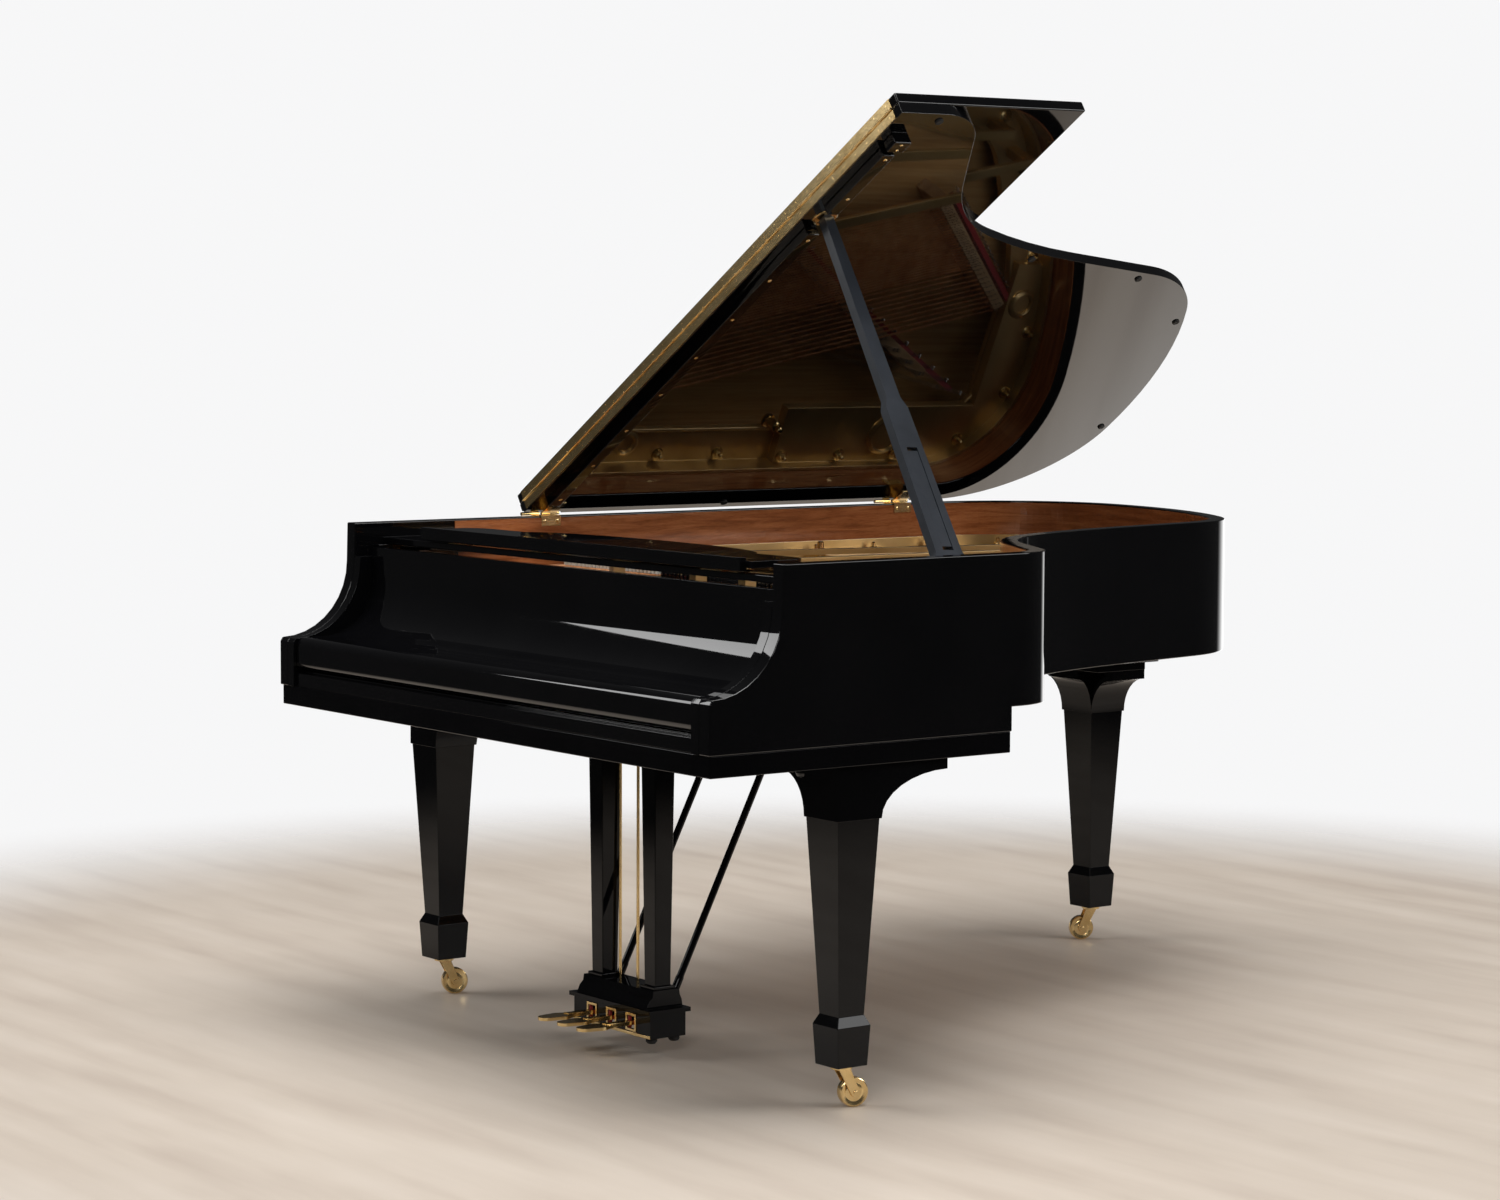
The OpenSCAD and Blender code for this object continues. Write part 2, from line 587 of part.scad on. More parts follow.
module pedal(k) translate([k * pedal_pitch, 0, 0]) {
    slab_box(-8, 8, 245, pedal_pivot[0] + 24, 57, 65);
    translate([0, 228, 57]) linear_extrude(6) hull() {
        circle(r = 22, $fn = 32);
        translate([0, -28]) circle(r = 17, $fn = 32);
        translate([0, 34]) circle(r = 8, $fn = 32);
    }
    translate([-10, pedal_pivot[0], pedal_pivot[1]]) rotate([0, 90, 0]) cylinder(h = 20, r = 5);
}
module left_pedal() color([0.85, 0.68, 0.3]) pedal(-1);
module middle_pedal() color([0.85, 0.68, 0.3]) pedal(0);
module right_pedal() color([0.85, 0.68, 0.3]) pedal(1);
module pedal_rod(k) rod(
    [k * rod_pitch, lyre_y + 20, 67], [k * rod_pitch, lyre_y + 20, 588], 3);
module left_rod() color([0.85, 0.68, 0.3]) pedal_rod(-1);
module middle_rod() color([0.85, 0.68, 0.3]) pedal_rod(0);
module right_rod() color([0.85, 0.68, 0.3]) pedal_rod(1);

place() outer_rim();
place() rim_veneer();
place() inner_rim();
place() keybed();
place() key_slip();
place() arm_cheeks();
place() belly_rail();
place() back_posts();
place() leg_blocks();
place() pin_block();
place() iron_plate();
place() soundboard();
place() bridges();
place() treble_strings();
place() bass_strings();
place() tuning_pins();
place() key_frame();
place() hammer_rail();
place() white_keys();
place() black_keys();
place() white_key_hammers();
place() black_key_hammers();
place() damper_heads();
place() damper_tray();
place() fallboard();
place() desk_rails();
place() desk_shelf();
place() music_desk();
place() desk_props();
place() main_lid();
place() front_flap();
place() lid_long_leaf();
place() flap_long_leaf();
place() lid_batten();
place() lid_bumpers();
place() rim_hinge_leaves();
place() lid_hinge_leaves();
place() prop_stick();
place() half_stick();
place() prop_bracket();
place() bass_leg();
place() treble_leg();
place() tail_leg();
place() bass_caster_fork();
place() bass_caster_wheel();
place() treble_caster_fork();
place() treble_caster_wheel();
place() tail_caster_fork();
place() tail_caster_wheel();
place() lyre_top();
place() lyre_posts();
place() lyre_box();
place() pedal_escutcheons();
place() lyre_braces();
place() left_pedal();
place() middle_pedal();
place() right_pedal();
place() left_rod();
place() middle_rod();
place() right_rod();
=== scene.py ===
"""Looks of the open grand piano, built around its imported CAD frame."""
import json
import math

import bmesh
import bpy
from mathutils import Matrix, Vector

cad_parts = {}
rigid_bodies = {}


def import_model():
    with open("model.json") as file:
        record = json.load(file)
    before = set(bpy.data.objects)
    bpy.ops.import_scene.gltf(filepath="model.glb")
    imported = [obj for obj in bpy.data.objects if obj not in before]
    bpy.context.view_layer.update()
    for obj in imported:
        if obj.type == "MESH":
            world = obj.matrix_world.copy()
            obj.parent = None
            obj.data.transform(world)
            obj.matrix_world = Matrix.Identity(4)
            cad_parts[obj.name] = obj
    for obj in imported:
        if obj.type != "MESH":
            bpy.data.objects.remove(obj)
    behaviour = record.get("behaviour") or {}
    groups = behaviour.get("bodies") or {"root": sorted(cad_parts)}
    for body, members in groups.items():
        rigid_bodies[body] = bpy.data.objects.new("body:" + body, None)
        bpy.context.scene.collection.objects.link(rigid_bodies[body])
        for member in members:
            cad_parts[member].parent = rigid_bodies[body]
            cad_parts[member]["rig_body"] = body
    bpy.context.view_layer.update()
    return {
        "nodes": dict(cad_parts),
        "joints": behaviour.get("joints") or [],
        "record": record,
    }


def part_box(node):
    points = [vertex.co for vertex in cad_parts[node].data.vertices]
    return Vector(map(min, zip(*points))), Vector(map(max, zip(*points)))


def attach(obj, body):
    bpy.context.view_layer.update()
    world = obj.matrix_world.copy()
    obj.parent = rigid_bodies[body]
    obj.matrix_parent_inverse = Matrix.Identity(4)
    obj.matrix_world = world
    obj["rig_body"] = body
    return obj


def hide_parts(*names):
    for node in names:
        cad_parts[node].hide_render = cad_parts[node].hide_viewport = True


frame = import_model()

nodes = frame["nodes"]
joints = {j["name"]: j for j in frame["joints"]}
slot_of = {s["node"]: s["material_slot"] for s in frame["record"]["subparts"]}

# Places ---------------------------------------------------------------------
# The builders below work in millimetres: x from the case's middle line towards the
# treble, y from the front of the arms towards the tail, z up from the floor.

MM = 0.001
rim_low, rim_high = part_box("outer_rim")
MIDDLE_X = (rim_low.x + rim_high.x) / 2
FRONT_Y = rim_low.y


def at(x, y, z):
    return Vector((MIDDLE_X + x * MM, FRONT_Y + y * MM, z * MM))


LID_ANGLE = math.radians(-joints["lid_hinge"]["range_deg"][0])
LID_PIVOT = Vector(joints["lid_hinge"]["pos_m"])


def on_lid(u, y, h):
    """u runs up the lid from its hinge, y as above, h out of the lid's upper side."""
    across = u * math.cos(LID_ANGLE) - h * math.sin(LID_ANGLE)
    up = u * math.sin(LID_ANGLE) + h * math.cos(LID_ANGLE)
    return Vector((LID_PIVOT.x + across * MM, FRONT_Y + y * MM, LID_PIVOT.z + up * MM))


def extent(node):
    """A CAD node's box in the builders' millimetres: x0, x1, y0, y1, z0, z1."""
    low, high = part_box(node)
    return (
        (low.x - MIDDLE_X) / MM, (high.x - MIDDLE_X) / MM,
        (low.y - FRONT_Y) / MM, (high.y - FRONT_Y) / MM,
        low.z / MM, high.z / MM,
    )


PLATE_TOP = 858
HITCH_PANEL_TOP = 880
STRING_Z = 870
BASS_Z = 886
STRIKE_Y = 520
NOTES = 88
BASS_NOTES = 26
NOTE_PITCH = 13.2


def note_x(i):
    return (i - (NOTES - 1) / 2) * NOTE_PITCH + (-32 if i < BASS_NOTES else 14)


def tilt(i):
    if i < BASS_NOTES:
        return math.radians(13)
    return -math.radians(14 * ((NOTES - i) / (NOTES - BASS_NOTES)) ** 1.3)


def speaking(i):
    if i < BASS_NOTES:
        return 1330 - 11 * i
    return 1230 * 2 ** (-0.8 * (i - BASS_NOTES) / 12)


def front(i):
    return STRIKE_Y + 18 * max(0, i - BASS_NOTES) / (NOTES - BASS_NOTES)


def tail_length(i):
    return 55 if i < BASS_NOTES else 30 + 0.05 * speaking(i)


def string_point(i, distance, sideways=0, z=None):
    """A point of note i's string, measured from its front end."""
    angle = tilt(i)
    x = note_x(i) + distance * math.sin(angle) + sideways * math.cos(angle)
    y = front(i) + distance * math.cos(angle) - sideways * math.sin(angle)
    return (x, y, (BASS_Z if i < BASS_NOTES else STRING_Z) if z is None else z)


# Materials --------------------------------------------------------------------


class Finish:
    """A Principled material and short ways to feed its sockets."""

    def __init__(self, name, color, roughness, metallic=0.0, **constants):
        self.material = bpy.data.materials.new(name)
        self.material.use_nodes = True
        self.tree = self.material.node_tree
        self.shader = self.tree.nodes["Principled BSDF"]
        self.set("Base Color", (*color, 1.0))
        self.set("Roughness", roughness)
        self.set("Metallic", metallic)
        for socket, value in constants.items():
            self.set(socket.replace("_", " "), value)
        self.place = self.add("ShaderNodeTexCoord").outputs["Object"]

    def set(self, socket, value):
        self.shader.inputs[socket].default_value = value

    def add(self, kind, **settings):
        node = self.tree.nodes.new(kind)
        for key, value in settings.items():
            setattr(node, key, value)
        return node

    def link(self, source, target):
        self.tree.links.new(source, target)

    def stretched(self, scale):
        mapping = self.add("ShaderNodeMapping")
        mapping.inputs["Scale"].default_value = scale
        self.link(self.place, mapping.inputs["Vector"])
        return mapping.outputs["Vector"]

    def noise(self, scale, detail=3.0, stretch=None, distortion=0.0):
        texture = self.add("ShaderNodeTexNoise")
        texture.inputs["Scale"].default_value = scale
        texture.inputs["Detail"].default_value = detail
        texture.inputs["Distortion"].default_value = distortion
        self.link(self.stretched(stretch) if stretch else self.place, texture.inputs["Vector"])
        return texture.outputs["Fac"]

    def ramp(self, factor, stops):
        ramp = self.add("ShaderNodeValToRGB")
        elements = ramp.color_ramp.elements
        elements[0].position, elements[1].position = stops[0][0], stops[-1][0]
        for position, _ in stops[1:-1]:
            elements.new(position)
        for element, (_, color) in zip(elements, stops):
            element.color = (*color, 1.0)
        self.link(factor, ramp.inputs["Fac"])
        return ramp.outputs["Color"]

    def spread(self, factor, low, high):
        remap = self.add("ShaderNodeMapRange")
        remap.inputs["To Min"].default_value = low
        remap.inputs["To Max"].default_value = high
        self.link(factor, remap.inputs["Value"])
        return remap.outputs["Result"]

    def bump(self, height, strength, distance):
        node = self.add("ShaderNodeBump")
        node.inputs["Strength"].default_value = strength
        node.inputs["Distance"].default_value = distance
        self.link(height, node.inputs["Height"])
        self.link(node.outputs["Normal"], self.shader.inputs["Normal"])

    def color(self, source):
        self.link(source, self.shader.inputs["Base Color"])

    def roughness(self, source):
        self.link(source, self.shader.inputs["Roughness"])


def polyester(name, gloss, coat):
    """Thick black polyester; gloss is how much light its skin returns."""
    f = Finish(name, (0.002, 0.002, 0.0024), 0.04, IOR=1.52, Specular_IOR_Level=gloss,
               Coat_Weight=coat, Coat_Roughness=0.015)
    f.color(f.ramp(f.noise(5, 5), [(0.3, (0.0016, 0.0016, 0.002)), (0.8, (0.003, 0.003, 0.0034))]))
    f.roughness(f.spread(f.noise(22, 6), 0.015, 0.045))
    f.bump(f.noise(12, 1), 0.01, 0.0004)
    return f.material


def wood(name, dark, middle, light, roughness, coat, grain=(26, 3, 60)):
    f = Finish(name, middle, roughness, Coat_Weight=coat, Coat_Roughness=0.05)
    figure = f.noise(1.0, 6, stretch=grain, distortion=0.6)
    pores = f.noise(1.0, 3, stretch=(grain[0] * 14, grain[1] * 9, grain[2] * 14))
    mix = f.add("ShaderNodeMix", data_type="RGBA", blend_type="MULTIPLY")
    mix.inputs["Factor"].default_value = 0.45
    f.link(f.ramp(figure, [(0.25, dark), (0.5, middle), (0.75, light)]), mix.inputs["A"])
    f.link(f.ramp(pores, [(0.35, (0.45, 0.36, 0.3)), (0.55, (1, 1, 1))]), mix.inputs["B"])
    f.color(mix.outputs["Result"])
    f.roughness(f.spread(pores, roughness * 0.75, roughness * 1.3))
    f.bump(pores, 0.06, 0.0004)
    return f.material


def gold_paint():
    f = Finish("bronze_plate", (0.62, 0.42, 0.17), 0.3, 0.85, Coat_Weight=0.4, Coat_Roughness=0.08)
    f.color(f.ramp(f.noise(9, 6), [(0.3, (0.55, 0.36, 0.14)), (0.7, (0.72, 0.5, 0.23))]))
    f.roughness(f.spread(f.noise(900, 2), 0.24, 0.42))
    f.bump(f.noise(420, 4), 0.12, 0.0008)
    return f.material


def metal(name, dark, light, rough_low, rough_high, scale=30):
    f = Finish(name, light, rough_low, 1.0)
    f.color(f.ramp(f.noise(scale, 5), [(0.3, dark), (0.7, light)]))
    f.roughness(f.spread(f.noise(scale * 6, 4), rough_low, rough_high))
    f.bump(f.noise(scale * 20, 2), 0.03, 0.0003)
    return f.material


def wound_copper():
    """Copper wire wound round the bass strings: fine ridges along their length."""
    f = Finish("copper_wire", (0.72, 0.32, 0.14), 0.28, 1.0)
    f.color(f.ramp(f.noise(40, 4), [(0.3, (0.5, 0.2, 0.08)), (0.7, (0.85, 0.42, 0.2))]))
    wave = f.add("ShaderNodeTexWave", bands_direction="Y")
    wave.inputs["Scale"].default_value = 350
    f.link(f.place, wave.inputs["Vector"])
    f.bump(wave.outputs["Fac"], 0.5, 0.0005)
    return f.material


def felt(name, color):
    f = Finish(name, color, 0.95, Sheen_Weight=0.5, Sheen_Roughness=0.5)
    dark = tuple(0.6 * c for c in color)
    light = tuple(min(1.0, 1.2 * c + 0.01) for c in color)
    f.color(f.ramp(f.noise(350, 6), [(0.3, dark), (0.7, light)]))
    f.bump(f.noise(1500, 4), 0.5, 0.0008)
    return f.material


def satin_paint():
    f = Finish("satin_slate", (0.018, 0.021, 0.027), 0.3, Coat_Weight=0.2, Coat_Roughness=0.2)
    f.color(f.ramp(f.noise(14, 5), [(0.3, (0.014, 0.017, 0.022)), (0.7, (0.024, 0.028, 0.036))]))
    f.roughness(f.spread(f.noise(120, 4), 0.24, 0.38))
    f.bump(f.noise(600, 3), 0.05, 0.0004)
    return f.material


def key_plastic(name, dark, light, rough):
    f = Finish(name, light, rough, IOR=1.49)
    f.color(f.ramp(f.noise(1.0, 5, stretch=(90, 12, 90)), [(0.3, dark), (0.7, light)]))
    f.roughness(f.spread(f.noise(150, 4), rough * 0.7, rough * 1.3))
    f.bump(f.noise(900, 2), 0.03, 0.0003)
    return f.material


def rubber():
    f = Finish("soft_rubber", (0.015, 0.015, 0.015), 0.7)
    f.roughness(f.spread(f.noise(300, 4), 0.6, 0.85))
    f.bump(f.noise(900, 3), 0.2, 0.0004)
    return f.material


finishes = {
    "black_polyester": polyester("black_polyester", 0.42, 0.0),
    "mahogany": wood("mahogany", (0.2, 0.055, 0.018), (0.36, 0.115, 0.038), (0.5, 0.18, 0.065),
                     0.16, 0.8, grain=(7, 7, 90)),
    "beech": wood("beech", (0.42, 0.25, 0.12), (0.55, 0.36, 0.19), (0.66, 0.46, 0.26), 0.4, 0.2),
    "spruce": wood("spruce", (0.5, 0.27, 0.09), (0.66, 0.39, 0.15), (0.76, 0.5, 0.22), 0.3, 0.5,
                   grain=(120, 2, 20)),
    "bronze_plate": gold_paint(),
    "polished_brass": metal("polished_brass", (0.78, 0.55, 0.24), (0.92, 0.7, 0.36), 0.16, 0.3),
    "steel_wire": metal("steel_wire", (0.5, 0.5, 0.52), (0.78, 0.78, 0.8), 0.16, 0.28),
    "copper_wire": wound_copper(),
    "key_white": key_plastic("key_white", (0.78, 0.76, 0.7), (0.85, 0.83, 0.77), 0.16),
    "key_black": key_plastic("key_black", (0.008, 0.008, 0.008), (0.016, 0.015, 0.015), 0.28),
    "hammer_felt": felt("hammer_felt", (0.72, 0.69, 0.6)),
    "satin_slate": satin_paint(),
    "soft_rubber": rubber(),
}
red_felt = felt("red_felt", (0.42, 0.015, 0.02))
stand_polyester = polyester("stand_polyester", 0.16, 0.0)
lid_polyester = polyester("lid_polyester", 0.5, 0.55)
special = dict.fromkeys(
    ("bass_leg", "treble_leg", "tail_leg", "lyre_top", "lyre_posts", "lyre_box", "leg_blocks",
     "keybed"), stand_polyester)
special["main_lid"] = lid_polyester

for node, cad_object in nodes.items():
    cad_object.data.materials.clear()
    cad_object.data.materials.append(finishes[slot_of[node]])


# Mesh tools --------------------------------------------------------------------


def add_box(bm, x0, x1, y0, y1, z0, z1):
    corners = [(x, y, z) for z in (z0, z1) for y in (y0, y1) for x in (x0, x1)]
    verts = [bm.verts.new(c) for c in corners]
    for quad in ((0, 2, 3, 1), (4, 5, 7, 6), (0, 1, 5, 4), (2, 6, 7, 3), (0, 4, 6, 2), (1, 3, 7, 5)):
        bm.faces.new([verts[k] for k in quad])


def add_turned(bm, base, along, profile, sides=16):
    """A turned shape: profile lists (distance along, radius) from base."""
    axis = Vector(along).normalized()
    side = axis.orthogonal().normalized()
    other = axis.cross(side)
    rings = []
    for distance, radius in profile:
        centre = Vector(base) + axis * distance
        if radius == 0:
            rings.append([bm.verts.new(centre)])
            continue
        rings.append([
            bm.verts.new(centre + radius * (math.cos(a) * side + math.sin(a) * other))
            for a in (2 * math.pi * k / sides for k in range(sides))
        ])
    for low, high in zip(rings, rings[1:]):
        for k in range(sides):
            n = (k + 1) % sides
            if len(low) == 1:
                bm.faces.new((low[0], high[n], high[k]))
            elif len(high) == 1:
                bm.faces.new((low[k], low[n], high[0]))
            else:
                bm.faces.new((low[k], low[n], high[n], high[k]))
    if len(rings[0]) > 1:
        bm.faces.new(list(reversed(rings[0])))
    if len(rings[-1]) > 1:
        bm.faces.new(rings[-1])


def add_wire(bm, points, radius, sides=6):
    """A round wire through the points."""
    path = [Vector(p) for p in points]
    rings = []
    for k, point in enumerate(path):
        before, after = path[max(k - 1, 0)], path[min(k + 1, len(path) - 1)]
        axis = (after - before).normalized()
        side = axis.cross(Vector((0, 0, 1))).normalized()
        other = side.cross(axis)
        rings.append([
            bm.verts.new(point + radius * (math.cos(a) * side + math.sin(a) * other))
            for a in (2 * math.pi * s / sides for s in range(sides))
        ])
    for low, high in zip(rings, rings[1:]):
        for s in range(sides):
            n = (s + 1) % sides
            bm.faces.new((low[s], high[s], high[n], low[n]))
    bm.faces.new(rings[0])
    bm.faces.new(list(reversed(rings[-1])))


def add_prism(bm, outline, x0, x1):
    """A plate with the given (y, z) outline, from x0 to x1."""
    near = [bm.verts.new((x0, y, z)) for y, z in outline]
    far = [bm.verts.new((x1, y, z)) for y, z in outline]
    bm.faces.new(near)
    bm.faces.new(list(reversed(far)))
    for k in range(len(outline)):
        n = (k + 1) % len(outline)
        bm.faces.new((near[k], far[k], far[n], near[n]))


def add_screw(bm, centre, out, radius=4.0, proud=1.3):
    """A round screw head with a shallow well in its middle, proud millimetres high."""
    axis = Vector(out).normalized()
    rim = min(0.3, 0.25 * proud)
    add_turned(bm, centre, axis, [
        (-0.5, radius), (rim, radius), (0.77 * proud, 0.8 * radius), (proud, 0.42 * radius),
        (0.4 * proud, 0.3 * radius), (0.3 * proud, 0)], 14)


def soften(obj, width, segments=3):
    """Rounds the edges by width millimetres and keeps flat faces flat in the shading."""
    if width:
        bevel = obj.modifiers.new("edges", "BEVEL")
        bevel.width = width * MM
        bevel.segments = segments
        bevel.limit_method = "ANGLE"
        bevel.angle_limit = math.radians(25)
        bevel.harden_normals = True
    normals = obj.modifiers.new("normals", "WEIGHTED_NORMAL")
    normals.mode = "FACE_AREA"
    normals.keep_sharp = False


def make(name, body, slot, build, edge=0.0, place=at, material=None, stands_for=(), segments=3):
    """Runs build(bm) in millimetres and makes the piece, riding on body."""
    bm = bmesh.new()
    build(bm)
    bmesh.ops.recalc_face_normals(bm, faces=bm.faces)
    for vert in bm.verts:
        vert.co = place(*vert.co)
    if place is on_lid:
        bmesh.ops.recalc_face_normals(bm, faces=bm.faces)
    mesh = bpy.data.meshes.new(name)
    bm.to_mesh(mesh)
    bm.free()
    for polygon in mesh.polygons:
        polygon.use_smooth = True
    obj = bpy.data.objects.new(name, mesh)
    bpy.context.scene.collection.objects.link(obj)
    mesh.materials.append(material or finishes[slot])
    if edge:
        soften(obj, edge, segments)
    else:
        mesh.set_sharp_from_angle(angle=math.radians(35))
    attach(obj, body)
    if stands_for:
        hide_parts(*stands_for)
    return obj


def soft_edged(node, width, segments=3):
    """The same shape as a CAD node, with its sharp edges rounded."""
    source = nodes[node]
    bm = bmesh.new()
    bm.from_mesh(source.data)
    bmesh.ops.remove_doubles(bm, verts=bm.verts, dist=0.02 * MM)
    bmesh.ops.dissolve_limit(bm, angle_limit=math.radians(0.6), verts=bm.verts, edges=bm.edges)
    mesh = bpy.data.meshes.new(node + "_finished")
    bm.to_mesh(mesh)
    bm.free()
    for polygon in mesh.polygons:
        polygon.use_smooth = True
    obj = bpy.data.objects.new(node + "_finished", mesh)
    bpy.context.scene.collection.objects.link(obj)
    mesh.materials.append(special.get(node, finishes[slot_of[node]]))
    soften(obj, width, segments)
    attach(obj, source["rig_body"])
    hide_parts(node)
    return obj


# Case, lid, legs and lyre with rounded edges ------------------------------------

EDGE_RADII = {
    "outer_rim": 2.2, "keybed": 2.0, "key_slip": 1.5, "arm_cheeks": 1.5, "leg_blocks": 1.5,
    "fallboard": 1.6, "desk_rails": 1.0, "desk_shelf": 1.5, "music_desk": 2.2,
    "main_lid": 3.0, "front_flap": 3.0, "lid_batten": 2.0,
    "bass_leg": 1.5, "treble_leg": 1.5, "tail_leg": 1.5,
    "lyre_top": 2.0, "lyre_posts": 2.0, "lyre_box": 1.2,
    "prop_stick": 2.0, "half_stick": 1.5, "iron_plate": 2.5,
    "left_pedal": 1.8, "middle_pedal": 1.8, "right_pedal": 1.8, "pedal_escutcheons": 0.5,
    "prop_bracket": 0.8, "rim_hinge_leaves": 0.4, "lid_hinge_leaves": 0.4,
    "bass_caster_fork": 0.8, "treble_caster_fork": 0.8, "tail_caster_fork": 0.8,
    "desk_props": 0.6, "key_frame": 1.0, "hammer_rail": 1.0, "white_keys": 0.5,
    "bridges": 1.5, "damper_tray": 1.0, "belly_rail": 1.5, "pin_block": 1.0,
    "lid_long_leaf": 0.3, "flap_long_leaf": 0.3,
}
for node, width in EDGE_RADII.items():
    soft_edged(node, width)


# Strings, pins and plate fittings --------------------------------------------------


def unison(i):
    """How many strings note i has."""
    return 1 if i < 10 else 2 if i < BASS_NOTES else 3


def pin_place(i, k):
    """Where tuning pin k of note i stands."""
    if i < BASS_NOTES:
        return note_x(i) + (k - 0.5) * 4, 424 + 24 * k + 9 * (i % 2)
    return note_x(i) + (k - 1) * 3.4, 418 + 21 * k + 8 * (i % 2)


def string_offset(i, k):
    return (k - (unison(i) - 1) / 2) * (6.2 if i < BASS_NOTES else 3.3)


def build_steel(bm):
    for i in range(NOTES):
        for k in range(unison(i)):
            off = string_offset(i, k)
            x, y = pin_place(i, k)
            bass = i < BASS_NOTES
            z = BASS_Z if bass else STRING_Z
            start = string_point(i, 0, off)
            points = [(x + 4, y, PLATE_TOP + 9), (start[0], 506, z - 3), start]
            if bass:
                points.append(string_point(i, 22, off))
                add_wire(bm, points, 0.6)
                end = speaking(i)
                add_wire(bm, [string_point(i, end - 20, off), string_point(i, end, off),
                              string_point(i, end + tail_length(i), off, PLATE_TOP + 8)], 0.6)
            else:
                points.append(string_point(i, speaking(i), off))
                points.append(string_point(i, speaking(i) + tail_length(i), off, PLATE_TOP + 5))
                add_wire(bm, points, 0.5)


def build_windings(bm):
    for i in range(BASS_NOTES):
        radius = 2.3 - 0.05 * i
        for k in range(unison(i)):
            off = string_offset(i, k)
            add_wire(bm, [string_point(i, 20, off), string_point(i, 24, off),
                          string_point(i, speaking(i) - 26, off),
                          string_point(i, speaking(i) - 21, off)], radius, 8)


def build_tuning_pins(bm):
    for i in range(NOTES):
        for k in range(unison(i)):
            x, y = pin_place(i, k)
            add_turned(bm, (x, y, PLATE_TOP - 1), (0, 0, 1), [
                (0, 4.6), (2, 4.6), (2.2, 3.3), (6, 3.3), (6.2, 4.3), (7.6, 4.3), (7.8, 3.9),
                (9.2, 3.9), (9.4, 4.3), (10.8, 4.3), (11, 3.3), (24, 3.3), (25, 3.0)], 10)
            add_turned(bm, (x, y, PLATE_TOP + 23), (0, 0, 1), [(0, 3.2), (11, 2.7), (12, 2.1)], 4)


make("steel_strings", "case", "steel_wire", build_steel, stands_for=("treble_strings",))
make("wound_bass_strings", "case", "copper_wire", build_windings, stands_for=("bass_strings",))
make("wound_tuning_pins", "case", "steel_wire", build_tuning_pins, stands_for=("tuning_pins",))


def build_hitch_pins(bm):
    for i in range(NOTES):
        for k in range(unison(i)):
            end = string_point(i, speaking(i) + tail_length(i), string_offset(i, k), PLATE_TOP - 1)
            height = 11 if i < BASS_NOTES else 8
            add_turned(bm, end, (0, 0, 1), [(0, 2.2), (height, 2.2), (height + 1, 1.2)], 8)


def build_agraffes(bm):
    for i in range(NOTES - 20):
        x, y, z = string_point(i, 0)
        wide = 4.2
        add_box(bm, x - wide, x + wide, y - 2.5, y + 2.5, PLATE_TOP, z + 4.5)
        add_turned(bm, (x, y, PLATE_TOP - 1), (0, 0, 1), [(0, 4.6), (3, 4.6), (3.5, 3.5)], 10)


make("hitch_pins", "case", "steel_wire", build_hitch_pins)
make("agraffes", "case", "polished_brass", build_agraffes)


def build_capo(bm):
    """The bar that bears on the top twenty notes."""
    x0, x1 = note_x(NOTES - 20) - 6, note_x(NOTES - 1) + 14
    add_prism(bm, [(518, PLATE_TOP - 1), (518, 884), (525, 893), (538, 893), (544, 884),
                   (541, 876), (535, 871), (527, 876), (523, PLATE_TOP - 1)], x0, x1)


make("capo_bar", "case", "bronze_plate", build_capo, 1.5)


def build_stringing_felt(bm):
    add_box(bm, note_x(0) - 14, note_x(BASS_NOTES - 1) + 10, 482, 508, PLATE_TOP, 880)
    add_box(bm, note_x(BASS_NOTES) - 10, note_x(NOTES - 21) + 6, 482, 508, PLATE_TOP, 865.5)


make("stringing_felt", "case", "hammer_felt", build_stringing_felt, 2.0, material=red_felt)


def back_felt_line(notes, share):
    return [string_point(i, speaking(i) + share * tail_length(i), 0, 0) for i in notes]


def build_back_felt(bm):
    """Felt ribbons woven under the strings behind the bridges."""
    for notes, top in ((range(0, BASS_NOTES, 2), 877), (range(BASS_NOTES, NOTES - 10, 2), 863.5)):
        line = back_felt_line(notes, 0.62)
        for p, q in zip(line, line[1:]):
            lower = [bm.verts.new((v[0] + dx, v[1] + dy, z))
                     for z in (PLATE_TOP - 4, top)
                     for v, dx, dy in ((p, -4, -4), (q, -4, -4), (q, 5, 5), (p, 5, 5))]
            for quad in ((3, 2, 1, 0), (4, 5, 6, 7), (0, 1, 5, 4), (1, 2, 6, 5), (2, 3, 7, 6),
                         (3, 0, 4, 7)):
                bm.faces.new([lower[k] for k in quad])


make("back_felt", "case", "hammer_felt", build_back_felt, material=red_felt)


def build_bridge_pins(bm):
    for i in range(NOTES):
        base = (BASS_Z if i < BASS_NOTES else STRING_Z) - 3
        for k in range(unison(i)):
            for ahead in (-6, 6):
                x, y, _ = string_point(i, speaking(i) + ahead, string_offset(i, k) + 0.12 * ahead)
                add_turned(bm, (x, y, base), (0, 0, 1), [(0, 1.0), (5.2, 1.0), (5.8, 0.6)], 6)


make("bridge_pins", "case", "steel_wire", build_bridge_pins)

# The case's plan: straights (length, 0) and arcs (radius, turn in degrees)
HALF_WIDTH = extent("outer_rim")[1]
ARM_Y = 157
PLAN = [(535, 0), (130, 62), (170, 0), (400, -40), (1500, -11.6), (256, 0), (300, 47.6), (1050, 29)]


